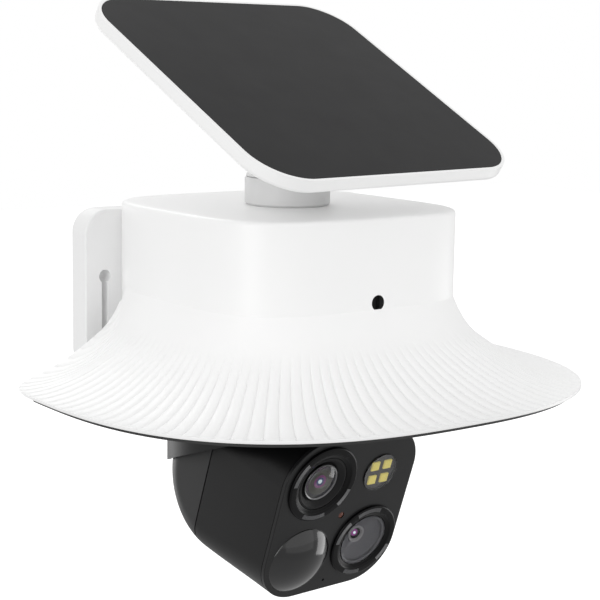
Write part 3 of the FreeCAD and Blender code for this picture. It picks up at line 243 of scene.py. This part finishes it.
NODE_LOOKS = {
    WHITE: ["housing_shell", "panel_frame"],
    PLATE: ["wall_plate"],
    GREY: ["swivel_base", "swivel_neck", "panel_bracket"],
    BLACK: ["front_housing"],
    REAR: ["rear_cover"],
    HOOD: ["turret_shell"],
    FRONT: ["face_panel"],
    COVER: ["bottom_cover", "tilt_yoke", "battery_tray", "speaker", "reset_button"],
    RING: ["wide_lens_ring", "tele_lens_ring", "light_sensor"],
    DEEP: ["wide_lens_barrel", "tele_lens_barrel"],
    RUBBER: ["cover_seal", "head_seal", "port_plug"],
    STEEL: ["cover_screws", "plate_screws", "board_and_motor_screws", "swivel_screws", "bracket_screws",
            "head_screws", "turret_screws", "hinge_bolt", "hinge_nut", "swivel_nut", "tilt_shaft", "usb_socket",
            "pir_sensor", "microphone"],
    ALLOY: ["pan_motor", "tilt_motor"],
    BOARD: ["main_board", "port_board", "antennas", "camera_board"],
    MOUNT: ["led_board"],
    RESIN: ["pan_bearing", "pan_gear", "pan_pinion", "tilt_gear", "tilt_pinion", "tilt_bushes"],
    WRAP: ["battery_cells"],
    DOME: ["pir_lens"],
    PHOSPHOR_PAINTED_GLOW: ["led_chips"],
    CLEAR: ["wide_lens_glass", "led_window"],
    SMOKE: ["tele_lens_glass"],
    GLASS_GREY: ["tele_lens_element"],
    AMBER: ["status_led"],
    SOLAR: ["solar_cells", "panel_glass"],
}
for look, names in NODE_LOOKS.items():
    for name in names:
        mesh = nodes[name].data
        mesh.materials.clear()
        mesh.materials.append(look)


# ---------------------------------------------------------------- mesh helpers
def piece(name, points, faces, looks, body, place, face_looks=None, sharp=40):
    """A smooth mesh piece that rides on a body; points are in millimetres in the frame given by place."""
    mesh = bpy.data.meshes.new(name)
    mesh.from_pydata([(place @ Vector(point)) * MM for point in points], [], faces)
    for look in looks:
        mesh.materials.append(look)
    if face_looks:
        mesh.polygons.foreach_set("material_index", face_looks)
    mesh.polygons.foreach_set("use_smooth", [True] * len(mesh.polygons))
    bm = bmesh.new()
    bm.from_mesh(mesh)
    bmesh.ops.recalc_face_normals(bm, faces=bm.faces)
    bm.to_mesh(mesh)
    bm.free()
    mesh.set_sharp_from_angle(angle=math.radians(sharp))
    thing = bpy.data.objects.new(name, mesh)
    bpy.context.scene.collection.objects.link(thing)
    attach(thing, body)
    return thing


def lathe(name, profile, place, looks, body, count=128, look_of=None, sharp=35):
    """A turned piece: profile is a list of (radius, height); look_of gives each band's material."""
    points = []
    for column in range(count):
        angle = math.radians(360.0 * column / count)
        points += [(r * math.cos(angle), r * math.sin(angle), z) for r, z in profile]
    rows = len(profile)
    faces = []
    bands = []
    for column in range(count):
        following = (column + 1) % count
        for row in range(rows - 1):
            here = column * rows + row
            there = following * rows + row
            if profile[row][0] < 1e-6:
                faces.append((here, here + 1, there + 1))
            elif profile[row + 1][0] < 1e-6:
                faces.append((here, here + 1, there))
            else:
                faces.append((here, here + 1, there + 1, there))
            bands.append(look_of[row] if look_of else 0)
    thing = piece(name, points, faces, looks, body, place, bands, sharp=sharp)
    bm = bmesh.new()
    bm.from_mesh(thing.data)
    bmesh.ops.remove_doubles(bm, verts=bm.verts, dist=1e-7)
    bm.to_mesh(thing.data)
    bm.free()
    return thing


def rounded(corners, radius, steps=5):
    """A profile whose inner corners are rounded off with short arcs."""
    out = [corners[0]]
    for before, corner, after in zip(corners, corners[1:], corners[2:]):
        a = Vector(before) - Vector(corner)
        b = Vector(after) - Vector(corner)
        reach = min(radius, 0.45 * a.length, 0.45 * b.length)
        first = Vector(corner) + a.normalized() * reach
        last = Vector(corner) + b.normalized() * reach
        for step in range(steps + 1):
            share = step / steps
            mix = first * (1 - share) ** 2 + Vector(corner) * 2 * share * (1 - share) + last * share ** 2
            out.append((mix.x, mix.y))
    out.append(corners[-1])
    return out


# ---------------------------------------------------------------- the fluted housing
def outline_radius(half, power, angle):
    """Distance from the axis to a superellipse in a direction."""
    c = abs(math.cos(angle)) ** power
    s = abs(math.sin(angle)) ** power
    return half / (c + s) ** (1 / power)


def share_at(x, y):
    """Which level of the flare passes through a point: 0 at the box, 1 at the rim."""
    reach = math.hypot(x, y)
    angle = math.atan2(y, x)
    low, high = -0.1, 1.1
    for _ in range(26):
        middle = (low + high) / 2
        half = BOX_HALF + (RIM_HALF - BOX_HALF) * middle
        power = BOX_POWER + (RIM_POWER - BOX_POWER) * middle
        if outline_radius(half, power, angle) < reach:
            low = middle
        else:
            high = middle
    return (low + high) / 2


def flare_level(share):
    """Height of the flare, with a soft cove where it leaves the box."""
    share = min(1, max(0, share))
    level = LIP + (FLARE_TOP - LIP) * (1 - share) ** 2
    if share < COVE_SHARE:
        level += COVE_RISE * (1 - share / COVE_SHARE) ** COVE_POWER
    return level


def skirt_rim():
    """The skirt's outline at the rim, clockwise from the back right, and the length up to each point."""
    side = RIM_HALF * SKIRT_SIDE
    bend = (side - SKIRT_CORNER, SKIRT_BACK - SKIRT_CORNER)
    raw = []
    start = math.degrees(math.atan2(SKIRT_BACK, BOX_HALF - 0.6))
    steps = 4000
    for step in range(steps + 1):
        angle = math.radians(start - (180 + 2 * start) * step / steps)
        radius = outline_radius(RIM_HALF, RIM_POWER, angle)
        way = Vector((math.cos(angle), math.sin(angle)))
        point = way * radius
        if point.y > SKIRT_BACK:
            point = way * (SKIRT_BACK / way.y)
        corner = Vector((math.copysign(bend[0], point.x), bend[1]))
        away = point - corner
        if away.y > 0 and away.x * point.x > 0 and away.length > SKIRT_CORNER:
            along = way.dot(corner)
            point = way * (along + math.sqrt(along ** 2 - corner.length_squared + SKIRT_CORNER ** 2))
        raw.append(point)
    lengths = [0.0]
    for first, second in zip(raw, raw[1:]):
        lengths.append(lengths[-1] + (second - first).length)
    return raw, lengths


def even_rim():
    """The skirt's outline cut into equal steps, so many to a flute."""
    raw, lengths = skirt_rim()
    count = round(lengths[-1] / FLUTE_PITCH) * FLUTE_STEPS
    rim = []
    index = 0
    for column in range(count + 1):
        target = lengths[-1] * column / count
        while index < len(raw) - 2 and lengths[index + 1] < target:
            index += 1
        span = lengths[index + 1] - lengths[index]
        rim.append(raw[index].lerp(raw[index + 1], (target - lengths[index]) / span))
    return rim


def add_skirt(rim, points, faces):
    """The fluted flare: each column curves from the rim, square to it, to the box."""
    count = len(rim) - 1
    reach = FLUTE_STEPS + 2
    for column, edge in enumerate(rim):
        before = rim[max(0, column - reach)]
        after = rim[min(count, column + reach)]
        along = (after - before).normalized()
        inward = Vector((along.y, -along.x))
        if inward.dot(edge) > 0:
            inward = -inward
        angle = math.atan2(edge.y, edge.x)
        foot_radius = outline_radius(BOX_HALF, BOX_POWER, angle)
        foot = Vector((math.cos(angle), math.sin(angle))) * foot_radius
        bend = edge + inward * (foot - edge).length * 0.5
        phase = column / FLUTE_STEPS
        rib = 1 - abs(math.sin(math.pi * phase)) ** FLUTE_POWER
        for row in range(SKIRT_ROWS + 1):
            share = row / SKIRT_ROWS
            spot = edge * (1 - share) ** 2 + bend * 2 * share * (1 - share) + foot * share ** 2
            if spot.y > SKIRT_BACK:
                spot.y = SKIRT_BACK
            level = flare_level(share_at(spot.x, spot.y))
            fade_in = min(1, share / FADE_IN)
            fade_out = 1 - min(1, max(0, (share - FADE_START) / FADE_SPAN))
            depth = FLUTE_DEPTH * fade_in * fade_out * rib
            points.append((spot.x, spot.y, level - depth))
    stride = SKIRT_ROWS + 1
    for column in range(count):
        for row in range(SKIRT_ROWS):
            here = column * stride + row
            faces.append((here, here + stride, here + stride + 1, here + 1))


def add_lip(rim, points, faces):
    """The upright lip, the ring under it and the inner side of the ring."""
    stride = SKIRT_ROWS + 1
    base = len(points)
    for inset, level in ((0.0, 0.35), (0.25, 0.0), (6.0, 0.0), (6.0, 1.1)):
        for edge in rim:
            pull = 1 - inset / edge.length
            points.append((edge.x * pull, edge.y * pull, level))
    wide = len(rim)
    for column in range(wide - 1):
        faces.append((column * stride, base + column, base + column + 1, (column + 1) * stride))
        for band in range(3):
            here = base + band * wide + column
            faces.append((here, here + wide, here + wide + 1, here + 1))


def add_box(points, faces):
    """The box: its outline, its rounded top edge, and its flat back above the wall plate."""
    base = len(points)
    levels = [(0.0, -0.4), (0.0, BOX_TOP - BOX_ROUNDING)]
    levels += [(BOX_ROUNDING * (1 - math.cos(a)), BOX_TOP - BOX_ROUNDING * (1 - math.sin(a)))
               for a in (math.radians(15 * step) for step in range(1, 7))]
    levels += [(BOX_ROUNDING + 6, BOX_TOP), (BOX_ROUNDING + 30, BOX_TOP)]
    for inset, level in levels:
        for side in range(BOX_SIDES):
            angle = 2 * math.pi * side / BOX_SIDES
            radius = outline_radius(BOX_HALF - inset, BOX_POWER, angle)
            x = radius * math.cos(angle)
            y = radius * math.sin(angle)
            if level < PLATE_TOP:
                y = min(y, BOX_BACK)
            points.append((x, y, level))
    for band in range(len(levels) - 1):
        for side in range(BOX_SIDES):
            here = base + band * BOX_SIDES + side
            there = base + band * BOX_SIDES + (side + 1) % BOX_SIDES
            faces.append((here, there, there + BOX_SIDES, here + BOX_SIDES))
    faces.append(tuple(base + (len(levels) - 1) * BOX_SIDES + side for side in range(BOX_SIDES)))


def build_housing():
    points = []
    faces = []
    rim = even_rim()
    add_skirt(rim, points, faces)
    add_lip(rim, points, faces)
    add_box(points, faces)
    shell = piece("housing_skin", points, faces, [WHITE], "housing", BOX, sharp=38)
    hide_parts("housing_shell")


build_housing()


# ---------------------------------------------------------------- the lens rings and what is in them
RIB_STEP = 1.6
RIB_DEPTH = 0.12
ARC_INNER = 16.2
ARC_OUTER = 18.5
ARC_LOW = 1.3
ARC_HIGH = 1.52
PIN_HOLE_ANGLE = 53
PIN_HOLE_REACH = 17.2
# arcs on the rings: where each starts and how far it sweeps, in degrees
WIDE_ARCS = [(134, 40), (-48, 30), (-118, 44)]
TELE_ARCS = [(72, 46), (134, 40), (-48, 30), (-118, 34)]


def ribbed_arc(name, start, sweep, place):
    """A raised arc with fine ribs across it."""
    ribs = max(3, int(sweep / RIB_STEP))
    steps = ribs * 4
    points = []
    for step in range(steps + 1):
        angle = math.radians(start + sweep * step / steps)
        top = ARC_HIGH - RIB_DEPTH * (0.5 + 0.5 * math.cos(2 * math.pi * step / 4))
        for r, z in ((ARC_INNER, ARC_LOW), (ARC_INNER + 0.15, top), (ARC_OUTER - 0.15, top), (ARC_OUTER, ARC_LOW)):
            points.append((r * math.cos(angle), r * math.sin(angle), z))
    faces = []
    for step in range(steps):
        for row in range(3):
            here = step * 4 + row
            faces.append((here, here + 1, here + 5, here + 4))
    faces += [(0, 1, 2, 3), (steps * 4 + 3, steps * 4 + 2, steps * 4 + 1, steps * 4)]
    arc = piece(name, points, faces, [TRIM], "camera_head", place)


def lens_ring(name, node, place, arcs):
    """The raised ring round a lens: rounded crown, inner cone, ribbed arcs and a small pin hole."""
    profile = rounded([(19.3, 0.0), (19.3, 1.0), (18.7, 1.4), (15.9, 1.4), (15.5, 0.9), (13.7, 0.35),
                       (13.6, -0.6)], 0.35)
    ring = lathe(name, profile, place, [RING], "camera_head", count=180)
    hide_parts(node)
    for index, (start, sweep) in enumerate(arcs):
        ribbed_arc(f"{name}_arc_{index}", start, sweep, place)
    hole = math.radians(PIN_HOLE_ANGLE)
    at = place @ shift(PIN_HOLE_REACH * math.cos(hole), PIN_HOLE_REACH * math.sin(hole), 0)
    pin = lathe(f"{name}_pin_hole", rounded([(0.0, 1.28), (0.8, 1.3), (0.95, 1.42), (1.1, 1.405)], 0.05),
                at, [DEEP], "camera_head", count=24)


lens_ring("wide_ring", "wide_lens_ring", WIDE, WIDE_ARCS)
lens_ring("tele_ring", "tele_lens_ring", TELE, TELE_ARCS)


def arc_profile(radius, rise, top, count=14):
    """Half of a spherical cap, from its edge to its crown."""
    sphere = (radius ** 2 + rise ** 2) / (2 * rise)
    out = []
    for step in range(count + 1):
        r = radius * (1 - step / count)
        out.append((r, top - sphere + math.sqrt(sphere ** 2 - r ** 2)))
    return out


def bands_by_radius(profile, limits):
    """The material of each band of a profile: it changes at each of the falling radii in limits."""
    return [sum(r <= limit for limit in limits) for r, _ in profile[:-1]]


def build_wide_lens():
    """The stepped black recess, the coated lens stack in it, and the clear front element."""
    steps = rounded([(13.4, 0.1), (12.6, 0.1), (11.9, -1.0), (11.4, -1.0), (11.0, -2.0), (10.4, -2.0), (9.9, -2.9),
                     (9.4, -2.9), (9.35, -6.0)], 0.12)
    barrel = lathe("wide_recess", steps, WIDE, [DEEP], "camera_head", count=144)
    stack = rounded([(9.3, -1.2), (9.1, -0.8), (8.6, -1.1), (6.8, -2.9), (6.1, -3.5), (4.8, -4.4), (3.7, -4.8),
                     (2.7, -5.0), (1.6, -5.1), (1.0, -5.05), (0.0, -5.0)], 0.2, 3)
    # the innermost band of the stack is the painted glint
    inner = lathe("wide_lens_inner", stack, WIDE, [GLASS_GREY, OLIVE, VIOLET, INDIGO, PAINTED_GLINT], "camera_head",
                  count=144, look_of=bands_by_radius(stack, (6.2, 3.5, 2.0, 1.0)))
    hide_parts("wide_lens_glass")
    cap = arc_profile(9.0, 2.1, 0.6, 20)
    front = lathe("wide_lens_front", cap + [(0.0, -0.2), (8.2, -1.2), (9.0, -1.5)], WIDE, [CLEAR], "camera_head",
                  count=144)


def build_tele_lens():
    """The flat cover glass, and behind it the smoked dish with the small pupil at its bottom."""
    window = lathe("tele_window", rounded([(0.0, -0.4), (13.3, -0.4), (13.3, 0.45), (0.0, 0.45)], 0.05, 2),
                   TELE, [THIN], "camera_head", count=144)
    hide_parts("tele_lens_glass")
    dish = rounded([(13.3, -0.5), (12.1, -0.55), (12.0, -1.6), (11.5, -2.2), (4.3, -4.4), (4.1, -4.1), (3.0, -4.2),
                    (2.6, -4.9), (1.7, -5.1), (0.6, -5.0), (0.0, -4.97)], 0.15, 3)
    # the innermost band of the dish is the painted glint
    eye = lathe("tele_pupil", dish, TELE, [SMOKE, HALO, DEEP, VIOLET, PAINTED_GLINT], "camera_head", count=144,
                look_of=bands_by_radius(dish, (4.25, 2.7, 1.7, 0.7)))


def build_dome():
    """The dark dome over the infrared sensor."""
    cap = arc_profile(17.3, 6.4, 6.4, 30)
    dome = lathe("pir_dome", [(17.3, -0.1)] + cap, PIR, [DOME], "camera_head", count=160, sharp=60)
    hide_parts("pir_lens")


build_wide_lens()
build_tele_lens()
build_dome()

# ---------------------------------------------------------------- stage, light and camera, in metres
FLOOR_HALF = 12
FLOOR_LEVEL = -1.4
FLOOR_GLOW = 0.22
WORLD_GLOW = 0.78
CAMERA_PLACE = (-0.4301, -0.6547, 0.1103)
CAMERA_RIGHT = (0.8012, -0.5984, 0.0)
CAMERA_BACK = (-0.5905, -0.7906, 0.1623)
CAMERA_ROLL = 0.973
CAMERA_LENS = 92.7


def white_glow(tree, lighting):
    """A strength of 1 where the camera looks straight at it, and the lighting strength everywhere else."""
    ray = tree.nodes.new("ShaderNodeLightPath")
    glow = tree.nodes.new("ShaderNodeMapRange")
    glow.inputs["To Min"].default_value = lighting
    glow.inputs["To Max"].default_value = 1.0
    tree.links.new(ray.outputs["Is Camera Ray"], glow.inputs["Value"])
    return glow.outputs["Result"]


def build_stage():
    """A plain pale floor and a plain pale world."""
    corners = [(-FLOOR_HALF, -FLOOR_HALF, FLOOR_LEVEL), (FLOOR_HALF, -FLOOR_HALF, FLOOR_LEVEL),
               (FLOOR_HALF, FLOOR_HALF, FLOOR_LEVEL), (-FLOOR_HALF, FLOOR_HALF, FLOOR_LEVEL)]
    mesh = bpy.data.meshes.new("floor")
    mesh.from_pydata(corners, [], [(0, 1, 2, 3)])
    floor = bpy.data.objects.new("floor", mesh)
    bpy.context.scene.collection.objects.link(floor)
    look = bpy.data.materials.new("pale_floor")
    look.use_nodes = True
    shader = look.node_tree.nodes["Principled BSDF"]
    shader.inputs["Base Color"].default_value = (0.35, 0.35, 0.35, 1)
    shader.inputs["Roughness"].default_value = 0.9
    shader.inputs["Emission Color"].default_value = (1, 1, 1, 1)
    look.node_tree.links.new(white_glow(look.node_tree, FLOOR_GLOW), shader.inputs["Emission Strength"])
    mesh.materials.append(look)

    world = bpy.data.worlds.new("studio")
    world.use_nodes = True
    back = world.node_tree.nodes["Background"]
    back.inputs["Color"].default_value = (1, 1, 1, 1)
    world.node_tree.links.new(white_glow(world.node_tree, WORLD_GLOW), back.inputs["Strength"])
    bpy.context.scene.world = world
    bpy.context.scene.view_settings.view_transform = "Standard"


def area(name, place, target, size, power):
    """A soft rectangular light that faces a target."""
    light = bpy.data.lights.new(name, "AREA")
    light.shape = "RECTANGLE"
    light.size = size[0]
    light.size_y = size[1]
    light.energy = power
    thing = bpy.data.objects.new(name, light)
    thing.location = place
    thing.rotation_euler = (Vector(target) - Vector(place)).to_track_quat("-Z", "Y").to_euler()
    bpy.context.scene.collection.objects.link(thing)


def build_camera():
    """The camera, where its axes point as given and it is rolled a little about its own view."""
    camera = bpy.data.cameras.new("camera")
    camera.lens = CAMERA_LENS
    camera.sensor_width = 36
    camera.clip_start = 0.05
    thing = bpy.data.objects.new("camera", camera)
    roll = math.radians(CAMERA_ROLL)
    right = Vector(CAMERA_RIGHT)
    back = Vector(CAMERA_BACK)
    up = back.cross(right)
    right_rolled = right * math.cos(roll) + up * math.sin(roll)
    up_rolled = up * math.cos(roll) - right * math.sin(roll)
    basis = Matrix((right_rolled, up_rolled, back)).transposed().to_4x4()
    thing.matrix_world = Matrix.Translation(CAMERA_PLACE) @ basis
    bpy.context.scene.collection.objects.link(thing)
    bpy.context.scene.camera = thing


build_stage()
area("key", (-1.9, -0.9, 0.4), (0, -0.07, 0), (1.2, 1.2), 12)
area("fill", (0.7, -2.0, 0.5), (0, -0.07, 0), (2.8, 2.8), 8)
area("side", (1.14, -0.34, -0.36), (0, -0.11, -0.11), (0.6, 0.62), 2.4)
area("rear", (0.4, 1.45, 1.2), (0, -0.07, 0.03), (1.0, 1.0), 7)
area("edge", (-0.2, 1.05, -0.25), (-0.03, -0.07, -0.11), (0.5, 0.6), 1.4)

build_camera()
